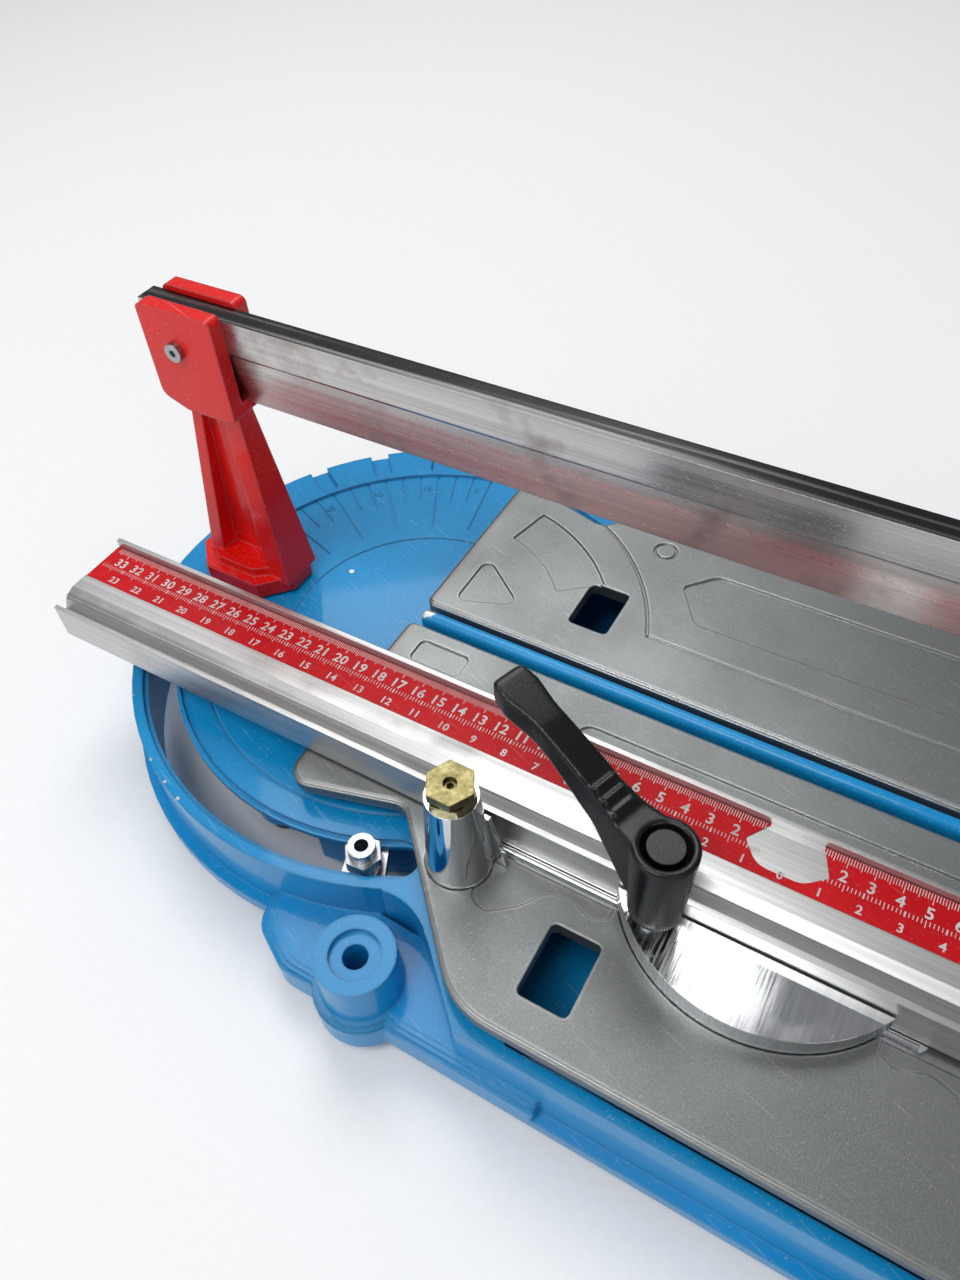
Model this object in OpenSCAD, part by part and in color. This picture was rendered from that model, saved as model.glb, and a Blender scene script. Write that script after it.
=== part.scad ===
// Manual tile cutter, in millimetres, +Z up, standing on z = 0.
// The parts are drawn from the centre of the round end and then shifted, so that the origin
// is on the floor under the middle of the base. +X runs along the rail towards the far support,
// +Y away from the rule.

/* [Base] */
// radius of the round goniometer end
disc_r = 141; // [132:1:150]
// height of the deck of the cast base above the floor
deck_z = 48; // [46:1:54]
// half of the base's width
base_half_w = 162; // [156:1:176]
// length of the sprung tables
table_l = 728; // [560:1:860]
// thickness of the base walls
wall_t = 5; // [4:0.5:7]
// radius of the lateral boss
boss_r = 16.4; // [13:0.2:20]
// diameter of the hole in the lateral boss
boss_hole_d = 10.4; // [6:0.2:14]

/* [Tables] */
// height of the tables' top face above the deck
table_rise = 13; // [12:0.5:15]
// thickness of the table plates
table_t = 7; // [5:0.5:8]
// half of the gap between the two tables
table_gap = 7; // [6:0.5:9]
// how far the tables' top edges are broken
table_edge_r = 2.4; // [1:0.2:2.8]

/* [Rail] */
// thickness of the rail
rail_w = 10; // [8:0.5:14]
// height of the rail
rail_h = 40; // [34:1:44]
// height of the rail's lower edge above the tables
rail_clear = 98; // [92:1:112]
// diameter of the rail screws
rail_screw_d = 4; // [4:0.5:6]

/* [Rule] */
// length of the rule bar on each side of its zero
rule_half_l = 340; // [240:1:380]
// height of the rule bar
rule_h = 19; // [17:0.5:22]

/* [Carrier] */
// radius of the half-disc of the carrier
half_disc_r = 59; // [54:0.5:64]
// thickness of the half-disc
half_disc_h = 12.5; // [9:0.5:14]
// height of the carrier post above the tables
post_h = 46; // [38:1:52]

/* [Carriage] */
// length of the carriage along the rail
carriage_l = 116; // [104:1:132]
// radius of the rollers
roller_r = 9; // [7:0.5:10]
// radius of the scoring wheel
wheel_r = 11; // [9:0.5:12]
// length of the handle from pivot to grip end
handle_l = 320; // [240:5:380]
// radius of the handle tube
tube_r = 9; // [8:0.5:11]

/* [Hidden] */
fit = 0.05;
gap = 0.3;
cut = 1;
base_z = 8;
table_z = deck_z + table_rise;
table_x0 = 0;
table_x1 = table_x0 + table_l;
base_x1 = table_x1 + 122;
centre_x = (base_x1 - disc_r) / 2;
rail_z0 = table_z + rail_clear;
rail_z1 = rail_z0 + rail_h;
foot_cx = -101;
rear_cx = table_x1 + 73;
rail_x0 = foot_cx - 21;
rail_x1 = rear_cx + 21;
floor_t = 4;
deck_t = 5;
ridge_w = 7;
ridge_z = table_z + 1;
boss_x = 67;
boss_y = disc_r + 14;
boss_well_r = 28;
ear_z = base_z + 18;
slot_r = disc_r - 13.6;
slot_w = 13.4;
slot_a0 = -61;
slot_a1 = -166;
rule_zero_x = 198;
rule_y0 = -92.5;
rule_y1 = -46;
rule_z0 = table_z + 1.5;
rule_z1 = rule_z0 + rule_h;
strip_t = 0.6;
strip_y0 = -70.5;
strip_y1 = -48.5;
channel_y0 = rule_y0 + 8;
channel_y1 = rule_y1 - 6;
channel_h = rule_h - 4;
carrier_z = table_z - 1.7;
carrier_plate_t = 2.4;
half_disc_y = -63;
post_x = 86;
post_y = rule_y0 - 14;
post_z = table_z + post_h;
post_nut_h = 8;
lever_x = 163.5;
lever_y = rule_y0 - 6;
lever_z = rule_z1 - 0.5 + gap;
lever_a = 160;
stud_r = 4;
hub_h = 42;
nut_a = -68.5;
spring_r = 6.6;
spring_wire = 0.8;
spring_turns = 5;
stud_guide_r = 4;
pod_r = 8.5;
pod_z = base_z + 22;
stop_z = base_z + 10;
guide_x0 = 185;
guide_x1 = table_x1 - 90;
guide_y0 = 34;
guide_y1 = 140;
car_x = table_x1 - 168;
car_z = rail_z0 + rail_h / 2 + 2;
car_half = carriage_l / 2;
cheek_y0 = rail_w / 2 + 2;
cheek_t = 5;
cheek_y1 = cheek_y0 + cheek_t;
yoke_y0 = cheek_y1 + gap;
yoke_t = 6;
yoke_y1 = yoke_y0 + yoke_t;
axle_r = 3;
top_axle_z = rail_z1 + gap + roller_r;
low_axle_z = rail_z0 - gap - roller_r;
axle_dx = car_half - roller_r - 11;
wheel_drop = car_z - ridge_z - wheel_r - 0.5;
nose_top = wheel_drop - 32;
nose_bot = wheel_drop - 13;
wheel_z = car_z - wheel_drop;
wheel_t = 3;
wheel_axle_r = 3;
foot_pin_dx = 38;
foot_pin_z = car_z - nose_bot - 6 - 2 * gap;
arm_a = 28;
fork_y = rail_w / 2 + fit;
fork_half = 12;
screw_z = rail_z0 + rail_h * 0.6;

foot_bolt_dx = 17;
foot_spots = [[-20, 96], [base_x1 - 32, base_half_w - 32]];
hex_af = 14.4;
slot_lip = 2;
hollow_r = disc_r - 4;

// ---------- outline helpers ----------

function unit(v) = v / norm(v);

// the points of one rounded corner at b, between a and c
function corner(a, b, c, r, n) =
    let (u = unit(a - b), v = unit(c - b), h = acos(u * v) / 2)
    let (m = b + unit(u + v) * (r / sin(h)), p = b + u * (r / tan(h)), q = b + v * (r / tan(h)))
    let (a0 = atan2(p.y - m.y, p.x - m.x), a1 = atan2(q.y - m.y, q.x - m.x))
    let (d = (a1 - a0 + 900) % 360 - 180)
    [for (i = [0:n]) m + r * [cos(a0 + d * i / n), sin(a0 + d * i / n)]];

// a closed outline with every corner rounded by its own radius
function rounded(pts, rs, n = 8) =
    [for (i = [0:len(pts) - 1]) for (q = corner(pts[(i + len(pts) - 1) % len(pts)], pts[i],
        pts[(i + 1) % len(pts)], rs[i], n)) q];

// ---------- shared shapes ----------

// a ring sector between two radii and two angles, as a plan shape
module sector2d(r0, r1, a0, a1) {
    steps = ceil(abs(a1 - a0) / 30);
    da = (a1 - a0) / steps;
    far = r1 / cos(da / 2) + 1;
    difference() {
        intersection() {
            circle(r = r1, $fn = 180);
            polygon(concat([[0, 0]],
                [for (i = [0:steps]) far * [cos(a0 + i * da), sin(a0 + i * da)]]));
        }
        circle(r = r0, $fn = 180);
    }
}

// an arc slot with round ends, as a plan shape
module arc_slot2d(r, w, a0, a1) {
    sector2d(r - w / 2, r + w / 2, a1, a0);
    for (a = [a0, a1]) {
        translate([r * cos(a), r * sin(a)]) {
            circle(r = w / 2, $fn = 48);
        }
    }
}

// a slab with round corners, as a plan shape
module round_box2d(x0, y0, x1, y1, r) {
    translate([x0 + r, y0]) {
        square([x1 - x0 - 2 * r, y1 - y0]);
    }
    translate([x0, y0 + r]) {
        square([x1 - x0, y1 - y0 - 2 * r]);
    }
    for (x = [x0 + r, x1 - r]) {
        for (y = [y0 + r, y1 - r]) {
            translate([x, y]) {
                circle(r = r, $fn = 48);
            }
        }
    }
}

// a hexagonal prism from its width across the flats
module hex(af, h) {
    cylinder(r = af / 2 / cos(30), h = h, $fn = 6);
}

// a rod standing along Y, centred on y = 0
module rod_y(r, l) {
    rotate([90, 0, 0]) {
        translate([0, 0, -l / 2]) {
            cylinder(r = r, h = l, $fn = 48);
        }
    }
}

// ---------- base ----------

// outline of the cast base, grown outwards by a margin
module base_plan(grow) {
    difference() {
        union() {
            circle(r = disc_r + grow, $fn = 180);
            for (s = [-1, 1]) {
                polygon([[0, 0], [62, s * (disc_r - 12 + grow)], [boss_x + 21, s * (boss_y - 19 + grow)],
                    [boss_x + 48, s * (base_half_w + grow)], [base_x1 - 40, s * (base_half_w + grow)],
                    [base_x1 - 40, 0]]);
            }
            round_box2d(base_x1 - 120, -base_half_w - grow, base_x1 + grow, base_half_w + grow, 34);
        }
        for (s = [-1, 1]) {
            translate([boss_x, s * boss_y]) {
                circle(r = boss_well_r - grow, $fn = 96);
            }
        }
    }
}

// lower ledge on each side that carries the lateral boss
module ear_plan(g) {
    for (s = [-1, 1]) {
        polygon(rounded([[12 + g, s * (disc_r - 14)], [12 + g, s * (disc_r + 14 - g)],
            [34 + 0.5 * g, s * (base_half_w + 5 - g)], [150, s * (base_half_w + 5 - g)],
            [150, s * (base_half_w - 30)]], [2, 14, 12, 2, 2]));
        translate([boss_x, s * boss_y]) {
            circle(r = boss_r + 4.6 - 0.5 * g, $fn = 72);
        }
    }
}

// open well under one table
module well_plan(s) {
    polygon([[18, s * 9], [18, s * 84], [52, s * 84], [70, s * 92], [88, s * 116], [108, s * 136],
        [134, s * (base_half_w - wall_t)], [table_x1 - 4, s * (base_half_w - wall_t)],
        [table_x1 - 4, s * 9]]);
}

// places its children at the four guide studs of one table
module guide_spots(s) {
    for (x = [guide_x0, guide_x1]) {
        for (y = [guide_y0, guide_y1]) {
            translate([x, s * y, 0]) {
                children();
            }
        }
    }
}

// places its children at the bolts of both rail supports
module support_spots() {
    for (x = [foot_cx, rear_cx]) {
        for (d = [-foot_bolt_dx, foot_bolt_dx]) {
            translate([x + d, 0, 0]) {
                children();
            }
        }
    }
}

// places its children at the four rubber feet
module foot_places() {
    for (p = foot_spots) {
        for (s = [-1, 1]) {
            translate([p.x, s * p.y, 0]) {
                children();
            }
        }
    }
}

module base_shell() {
    difference() {
        union() {
            translate([0, 0, base_z]) {
                linear_extrude(height = deck_z - base_z) {
                    base_plan(0);
                }
            }
            translate([0, 0, base_z]) {
                linear_extrude(height = 7) {
                    base_plan(5);
                }
            }
            // the ledge steps in towards its top for a round shoulder
            for (step = [[5, 0], [3, 0.6], [1.4, 1.8], [0, 4.5]]) {
                translate([0, 0, base_z]) {
                    linear_extrude(height = ear_z - base_z - step.y) {
                        ear_plan(step.x);
                    }
                }
            }
            for (s = [-1, 1]) {
                translate([boss_x, s * boss_y, base_z]) {
                    cylinder(r1 = boss_r + 2, r2 = boss_r, h = deck_z - base_z, $fn = 72);
                }
            }
        }
        // hollow under the round deck, open downwards
        translate([0, 0, base_z - cut]) {
            linear_extrude(height = deck_z - deck_t - base_z + cut) {
                intersection() {
                    circle(r = hollow_r, $fn = 180);
                    union() {
                        translate([-disc_r, -disc_r]) {
                            square([disc_r + 13, 2 * disc_r]);
                        }
                        sector2d(slot_r - slot_w / 2 - 9, disc_r, -100, slot_a0 + 3);
                        sector2d(slot_r - slot_w / 2 - 9, disc_r, -slot_a0 - 3, 100);
                    }
                }
            }
        }
        // hollow under the far deck
        translate([0, 0, base_z - cut]) {
            linear_extrude(height = deck_z - deck_t - base_z + cut) {
                round_box2d(table_x1 + 1, wall_t - base_half_w, base_x1 - wall_t, base_half_w - wall_t, 29);
            }
        }
        // wells under the tables
        for (s = [-1, 1]) {
            translate([0, 0, base_z + floor_t]) {
                linear_extrude(height = deck_z) {
                    well_plan(s);
                }
            }
        }
    }
}

// dial, slot, rings, radial scale and locating notches cut into the round deck
module dial_cuts() {
    translate([0, 0, deck_z - 1.6]) {
        linear_extrude(height = 3) {
            difference() {
                circle(r = disc_r - 22.4, $fn = 180);
                translate([foot_cx - 60, -27]) {
                    square([64, 54]);
                }
            }
        }
    }
    translate([0, 0, deck_z - 2.2]) {
        cylinder(r = 67, h = 4, $fn = 180);
    }
    translate([0, 0, base_z]) {
        linear_extrude(height = deck_z) {
            arc_slot2d(slot_r, slot_w, slot_a0, slot_a1);
        }
    }
    translate([0, 0, deck_z - 2.4]) {
        linear_extrude(height = 4) {
            arc_slot2d(slot_r, slot_w + 2 * slot_lip, slot_a0 - 1, slot_a1);
        }
    }
    translate([0, 0, deck_z - 2.2]) {
        linear_extrude(height = 4) {
            difference() {
                circle(r = disc_r - 34.6, $fn = 180);
                circle(r = disc_r - 35.4, $fn = 180);
                translate([-200, 0]) {
                    square([400, 200]);
                }
            }
        }
    }
    for (i = [0:12]) {
        rotate([0, 0, 102 + 5 * i]) {
            translate([i % 3 == 0 ? 76 : 98, -0.5, deck_z - 2.2]) {
                cube([disc_r - 22.6 - (i % 3 == 0 ? 76 : 98), 1, 3]);
            }
        }
    }
    for (i = [0:4]) {
        rotate([0, 0, 102 + 15 * i]) {
            translate([disc_r - 16, 0, deck_z - 3]) {
                cylinder(r = 5, h = 5, $fn = 36);
            }
            translate([disc_r - 16, -5, deck_z - 3]) {
                cube([24, 10, 5]);
            }
        }
    }
}

module base_casting() {
    color([0.14, 0.53, 0.78]) {
        difference() {
            union() {
                base_shell();
                // ridge between the tables, rounded on top
                translate([4, 0, base_z]) {
                    rotate([90, 0, 90]) {
                        linear_extrude(height = table_l - 8) {
                            translate([-ridge_w / 2, 0]) {
                                square([ridge_w, ridge_z - base_z - ridge_w / 2]);
                            }
                            translate([0, ridge_z - base_z - ridge_w / 2]) {
                                circle(r = ridge_w / 2, $fn = 36);
                            }
                        }
                    }
                }
                // cross ribs on the floor of the wells
                for (x = [table_x1 * 0.42, table_x1 * 0.66]) {
                    translate([x, wall_t / 2 - base_half_w, base_z]) {
                        cube([5, 2 * base_half_w - wall_t, 24]);
                    }
                }
                // pods that guide the table studs
                for (s = [-1, 1]) {
                    guide_spots(s) {
                        translate([0, 0, base_z]) {
                            cylinder(r = pod_r, h = pod_z - base_z, $fn = 48);
                        }
                    }
                }
                // pads for the rubber feet and bosses for the support bolts
                foot_places() {
                    translate([0, 0, base_z]) {
                        cylinder(r = 13, h = deck_z - base_z - 2.5, $fn = 48);
                    }
                }
                support_spots() {
                    translate([0, 0, base_z + 12]) {
                        cylinder(r = 10, h = deck_z - base_z - 14, $fn = 48);
                    }
                }
            }
            dial_cuts();
            for (s = [-1, 1]) {
                translate([boss_x, s * boss_y, 0]) {
                    cylinder(d = boss_hole_d, h = deck_z + 5, $fn = 48);
                }
                translate([boss_x, s * boss_y, deck_z - 2.5]) {
                    cylinder(r = boss_r - 6, h = 5, $fn = 60);
                }
                guide_spots(s) {
                    cylinder(r = stud_guide_r + fit, h = deck_z, $fn = 48);
                    cylinder(r = 7, h = stop_z, $fn = 48);
                }
            }
            support_spots() {
                cylinder(r = 3 + fit, h = deck_z + 5, $fn = 36);
            }
            foot_places() {
                translate([0, 0, base_z - cut]) {
                    cylinder(r = 3 + fit, h = 11 + cut, $fn = 36);
                }
            }
        }
    }
}

// ---------- rail and its supports ----------

// foot outline of a support, centred on its own foot
module support_foot2d(inset) {
    h = 29 - inset;
    w = 21 - inset;
    polygon([[-h, -7], [13 - h, -w], [h - 13, -w], [h, -7], [h, 7], [h - 13, w], [13 - h, w], [-h, 7]]);
}

// a slanted strip of the column seen from the side
module support_strip2d(x0, w0, x1, w1) {
    z0 = deck_z + 6;
    z1 = rail_z0 - 2;
    polygon([[x0, z0], [x0 + w0, z0], [x1 + w1, z1], [x1, z1]]);
}

// one cast rail support, standing at x = 0 with its fork towards +X
module rail_support() {
    fork_z = rail_z0 - 7;
    difference() {
        union() {
            translate([0, 0, deck_z]) {
                linear_extrude(height = 9) {
                    support_foot2d(0);
                }
            }
            translate([0, 0, deck_z + 8]) {
                linear_extrude(height = 6) {
                    support_foot2d(5);
                }
            }
            for (d = [-foot_bolt_dx, foot_bolt_dx]) {
                translate([d, 0, deck_z + 10]) {
                    cylinder(r = 7, h = 15, $fn = 36);
                }
            }
            // fork
            difference() {
                rotate([90, 0, 0]) {
                    translate([0, 0, -fork_half]) {
                        linear_extrude(height = 2 * fork_half) {
                            polygon(rounded([[-16, rail_z1 + 2.5], [-16, rail_z0 - 2], [-3, fork_z],
                                [24, fork_z], [24, rail_z1 + 2.5]], [3, 5, 4, 3, 3]));
                        }
                    }
                }
                translate([-30, -fork_y, rail_z0]) {
                    cube([70, 2 * fork_y, rail_h + 20]);
                }
            }
            // middle web of the column
            rotate([90, 0, 0]) {
                translate([0, 0, -1.5]) {
                    linear_extrude(height = 3) {
                        support_strip2d(-19, 47, -7, 24);
                    }
                }
            }
            // two tapered ribs along the edges of the web
            intersection() {
                rotate([90, 0, 0]) {
                    translate([0, 0, -20]) {
                        linear_extrude(height = 40) {
                            support_strip2d(-20, 8, -8, 5.5);
                            support_strip2d(17, 12.5, 9, 9);
                        }
                    }
                }
                rotate([90, 0, 90]) {
                    translate([0, 0, -40]) {
                        linear_extrude(height = 80) {
                            polygon([[-11.5, deck_z + 6], [11.5, deck_z + 6],
                                [4.5, rail_z0 - 1], [-4.5, rail_z0 - 1]]);
                        }
                    }
                }
            }
        }
        for (d = [-foot_bolt_dx, foot_bolt_dx]) {
            translate([d, 0, deck_z - cut]) {
                cylinder(r = 3 + fit, h = 18, $fn = 36);
            }
        }
        translate([1, 0, screw_z]) {
            rod_y(rail_screw_d / 2 + fit, 4 * fork_half);
        }
    }
}

module front_rail_support() {
    color([0.86, 0.09, 0.08]) {
        translate([foot_cx, 0, 0]) {
            rail_support();
        }
    }
}

module rear_rail_support() {
    color([0.86, 0.09, 0.08]) {
        translate([rear_cx, 0, 0]) {
            mirror([1, 0, 0]) {
                rail_support();
            }
        }
    }
}

module rail() {
    color([0.66, 0.66, 0.65]) {
        difference() {
            translate([rail_x0, 0, rail_z0]) {
                rotate([90, 0, 90]) {
                    linear_extrude(height = rail_x1 - rail_x0) {
                        polygon([[-1.8, 0], [1.8, 0], [rail_w / 2 - 0.9, rail_h * 0.48],
                            [rail_w / 2 - 0.6, rail_h * 0.59], [rail_w / 2, rail_h * 0.62],
                            [rail_w / 2, rail_h], [-rail_w / 2, rail_h], [-rail_w / 2, rail_h * 0.62],
                            [0.6 - rail_w / 2, rail_h * 0.59], [0.9 - rail_w / 2, rail_h * 0.48]]);
                    }
                }
            }
            for (x = [foot_cx + 1, rear_cx - 1]) {
                translate([x, 0, screw_z]) {
                    rod_y(rail_screw_d / 2 + fit, 2 * rail_w);
                }
            }
        }
    }
}

module rail_screws() {
    color([0.62, 0.62, 0.62]) {
        for (x = [foot_cx + 1, rear_cx - 1]) {
            translate([x, 0, screw_z]) {
                translate([0, 1.6, 0]) {
                    rod_y(rail_screw_d / 2, 2 * fork_half + 3.9);
                }
                difference() {
                    translate([0, -fork_half - 1.3, 0]) {
                        rod_y(rail_screw_d * 1.05, 2.6);
                    }
                    translate([0, -fork_half - 2.6, 0]) {
                        rotate([90, 0, 0]) {
                            translate([0, 0, -1.8]) {
                                hex(3, 4);
                            }
                        }
                    }
                }
            }
        }
    }
}

module rail_nuts() {
    color([0.72, 0.70, 0.62]) {
        for (x = [foot_cx + 1, rear_cx - 1]) {
            difference() {
                translate([x, fork_half + 3.2, screw_z]) {
                    rotate([90, 0, 0]) {
                        hex(7, 3.2);
                    }
                }
                translate([x, fork_half, screw_z]) {
                    rod_y(rail_screw_d / 2 + fit, 12);
                }
            }
        }
    }
}

module support_bolts() {
    color([0.55, 0.55, 0.54]) {
        support_spots() {
            translate([0, 0, base_z + 7.5]) {
                hex(10, 4.5);
            }
            translate([0, 0, base_z + 8]) {
                cylinder(r = 3, h = deck_z - base_z + 8, $fn = 36);
            }
        }
    }
}

module rubber_feet() {
    color([0.07, 0.07, 0.07]) {
        foot_places() {
            cylinder(r1 = 10, r2 = 12, h = base_z, $fn = 48);
            cylinder(r = 3, h = base_z + 10, $fn = 36);
        }
    }
}

// ---------- tables ----------

// outline of one table, s = -1 for the near one, drawn in by a margin
function table_pts(s, g) = [[table_x0 + g, s * (table_gap + g)], [table_x0 + g, s * (110 - 1.3 * g)],
    [53 + 0.34 * g, s * (95.5 - 1.13 * g)], [112 + 0.45 * g, s * (base_half_w - 4 - g)],
    [table_x1 - g, s * (base_half_w - 4 - g)], [table_x1 - g, s * (table_gap + g)]];

// the same outline with its corners rounded, as a plan shape
module table_plan(s, g) {
    polygon(rounded(table_pts(s, g), [4 - g, 9 - g, 8 + g, 34 - g, 6 - g, 3 - g]));
}

// a shallow triangle pocket next to the corner by the ridge
module corner_pocket2d(s) {
    polygon(rounded([[12, s * 14], [42, s * 25], [12, s * 48]], [4, 4, 4]));
}

// stud, plate and pockets shared by both tables
module table_blank(s) {
    difference() {
        union() {
            // three layers that step in towards the top, for a broken edge
            for (step = [[0, 0.66], [0.26, 0.28], [0.6, 0]]) {
                translate([0, 0, table_z - table_t]) {
                    linear_extrude(height = table_t - step.y * table_edge_r) {
                        table_plan(s, step.x * table_edge_r);
                    }
                }
            }
            guide_spots(s) {
                translate([0, 0, stop_z - fit]) {
                    cylinder(r = stud_guide_r, h = table_z - table_t - stop_z + 1, $fn = 48);
                }
            }
        }
        guide_spots(s) {
            translate([0, 0, stop_z - cut]) {
                cylinder(r = 2 + fit, h = 15, $fn = 24);
            }
        }
    }
}

module near_table() {
    color([0.45, 0.46, 0.46]) {
        difference() {
            table_blank(-1);
            // square window
            translate([0, 0, table_z - 2 * table_t]) {
                linear_extrude(height = 3 * table_t) {
                    round_box2d(130.5, -143, 151, -112.5, 2.5);
                }
            }
            // recess that seats the carrier
            translate([0, 0, carrier_z]) {
                linear_extrude(height = 5) {
                    carrier_plan(gap);
                    round_box2d(104, -97, 2 * rule_zero_x - 104, -51, 3);
                }
            }
            for (x = [120, 232]) {
                translate([x, -68, table_z - 2 * table_t]) {
                    cylinder(r = 2.5 + fit, h = 3 * table_t, $fn = 36);
                }
            }
            // wavy hollows on both sides of the half-disc
            translate([rule_zero_x, 0, table_z - 1.1]) {
                linear_extrude(height = 3) {
                    for (s = [0, 1]) {
                        mirror([s, 0]) {
                            polygon(rounded([[-101, -96], [-101, -119], [-92, -121], [-82, -113], [-75, -103],
                                [-66, -101], [-56, -105], [-50, -102], [-50, -96]],
                                [1, 6, 5, 8, 9, 8, 5, 2.5, 1]));
                        }
                    }
                }
            }
            // shallow cast pockets
            translate([0, 0, table_z - 1.2]) {
                linear_extrude(height = 3) {
                    round_box2d(12, -28, 38, -15, 3);
                    round_box2d(100, -47, table_x1 - 40, -24, 6);
                }
            }
        }
    }
}

module far_table() {
    color([0.45, 0.46, 0.46]) {
        difference() {
            table_blank(1);
            translate([0, 0, table_z - 2 * table_t]) {
                linear_extrude(height = 3 * table_t) {
                    round_box2d(67, 26.5, 87, 55.5, 2.5);
                }
            }
            translate([0, 0, table_z - 1.2]) {
                linear_extrude(height = 3) {
                    corner_pocket2d(1);
                    sector2d(68, 92, 38, 76);
                    polygon(rounded([[107, 73], [120, 87], [table_x1 - 40, 87],
                        [table_x1 - 40, 52], [121, 52]],
                        [3, 8, 6, 6, 8]));
                }
            }
            translate([90, 92, table_z - 1]) {
                difference() {
                    cylinder(r = 6, h = 3, $fn = 48);
                    cylinder(r = 4.6, h = 3, $fn = 48);
                }
            }
            // border of the lowered working area
            translate([0, 0, table_z - 0.8]) {
                linear_extrude(height = 3) {
                    difference() {
                        sector2d(109.3, 110.7, 19, 62);
                        translate([60, 26]) {
                            square([200, 9]);
                        }
                    }
                    translate([104, 34.3]) {
                        square([table_x1 - 144, 1.4]);
                    }
                }
            }
        }
    }
}

// screw heads under the pods that stop the studs from lifting out
module stop_screws(s) {
    guide_spots(s) {
        translate([0, 0, stop_z - fit - 5]) {
            cylinder(r = 6.4, h = 5, $fn = 36);
            cylinder(r = 2, h = 16, $fn = 24);
        }
    }
}

module near_stop_screws() {
    color([0.60, 0.60, 0.58]) {
        stop_screws(-1);
    }
}

module far_stop_screws() {
    color([0.60, 0.60, 0.58]) {
        stop_screws(1);
    }
}

// coil springs between the pods and the table
module table_springs(s) {
    h = table_z - table_t - pod_z;
    guide_spots(s) {
        translate([0, 0, pod_z]) {
            linear_extrude(height = h, twist = -360 * spring_turns, slices = 45) {
                translate([spring_r - spring_wire, 0]) {
                    circle(r = spring_wire, $fn = 6);
                }
            }
        }
    }
}

module near_springs() {
    color([0.35, 0.35, 0.36]) {
        table_springs(-1);
    }
}

module far_springs() {
    color([0.35, 0.35, 0.36]) {
        table_springs(1);
    }
}

// ---------- rule and its carrier ----------

// outline of the carrier plate and half-disc, grown by a margin
module carrier_plan(grow) {
    round_box2d(74 - grow, -96 - grow, 262 + grow, channel_y1 - 0.5 + grow, 4);
    translate([post_x, post_y]) {
        circle(r = 13.4 + grow, $fn = 72);
    }
    intersection() {
        translate([rule_zero_x, half_disc_y]) {
            circle(r = half_disc_r + grow, $fn = 180);
        }
        translate([100, -140]) {
            square([200, 60]);
        }
    }
}

module fence_carrier() {
    color([0.80, 0.80, 0.81]) {
        difference() {
            union() {
                translate([0, 0, carrier_z]) {
                    linear_extrude(height = carrier_plate_t) {
                        carrier_plan(0);
                    }
                }
                // half-disc in front of the bar
                translate([0, 0, carrier_z]) {
                    linear_extrude(height = half_disc_h) {
                        intersection() {
                            translate([rule_zero_x, half_disc_y]) {
                                circle(r = half_disc_r, $fn = 180);
                            }
                            translate([100, rule_y0 - 0.7 - 60]) {
                                square([200, 60]);
                            }
                        }
                    }
                }
                // fin beside the post
                translate([post_x, post_y + 8, 0]) {
                    rotate([90, 0, 0]) {
                        linear_extrude(height = 2) {
                            polygon([[6, carrier_z + 1], [18, carrier_z + 1], [17, carrier_z + 6],
                                [11, carrier_z + 30], [6, carrier_z + 30]]);
                        }
                    }
                }
                // bead along the front edge of the plate
                translate([post_x + 9, -94.7, carrier_z + carrier_plate_t - 0.1]) {
                    rotate([0, 90, 0]) {
                        cylinder(r = 1.2, h = 250 - post_x, $fn = 32);
                    }
                }
                // key inside the channel of the bar
                translate([104, channel_y0 + 2 * fit, carrier_z]) {
                    cube([152, channel_y1 - channel_y0 - 4 * fit, rule_z0 + channel_h - gap - carrier_z]);
                }
                translate([post_x, post_y, carrier_z]) {
                    cylinder(r1 = 13.4, r2 = 10.3, h = post_z - carrier_z, $fn = 72);
                }
            }
            translate([post_x, post_y, post_z - 20]) {
                cylinder(r = 5 + fit, h = 30, $fn = 36);
            }
            translate([lever_x, lever_y, carrier_z - cut]) {
                cylinder(r = stud_r + fit, h = 40, $fn = 48);
            }
            for (x = [120, 232]) {
                translate([x, -68, carrier_z - cut]) {
                    cylinder(r = 2.5 + fit, h = 11, $fn = 36);
                }
            }
        }
    }
}

module carrier_screws() {
    color([0.60, 0.60, 0.58]) {
        for (x = [120, 232]) {
            translate([x, -68, table_z - table_t - 3]) {
                cylinder(r = 5, h = 3, $fn = 36);
                cylinder(r = 2.5, h = 3 + table_t + 5, $fn = 36);
            }
        }
    }
}

module post_nut() {
    color([0.62, 0.58, 0.38]) {
        difference() {
            union() {
                // two hexagons with a narrow neck between them
                translate([post_x, post_y, post_z]) {
                    rotate([0, 0, 14]) {
                        hex(17, 3);
                    }
                    cylinder(r = 7.4, h = post_nut_h - 1, $fn = 48);
                    translate([0, 0, 3.6]) {
                        hex(17, post_nut_h - 3.6);
                    }
                }
                translate([post_x, post_y, post_z - 18]) {
                    cylinder(r = 5, h = 20, $fn = 36);
                }
            }
            translate([post_x, post_y, post_z - 17]) {
                cylinder(r = 2.5 + fit, h = 40, $fn = 36);
            }
        }
    }
}

module grub_screw() {
    color([0.45, 0.42, 0.30]) {
        difference() {
            translate([post_x, post_y, post_z - 14]) {
                cylinder(r = 2.5, h = 12 + post_nut_h, $fn = 36);
            }
            translate([post_x, post_y, post_z + post_nut_h - 5]) {
                hex(2.5, 5);
            }
        }
    }
}

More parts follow.
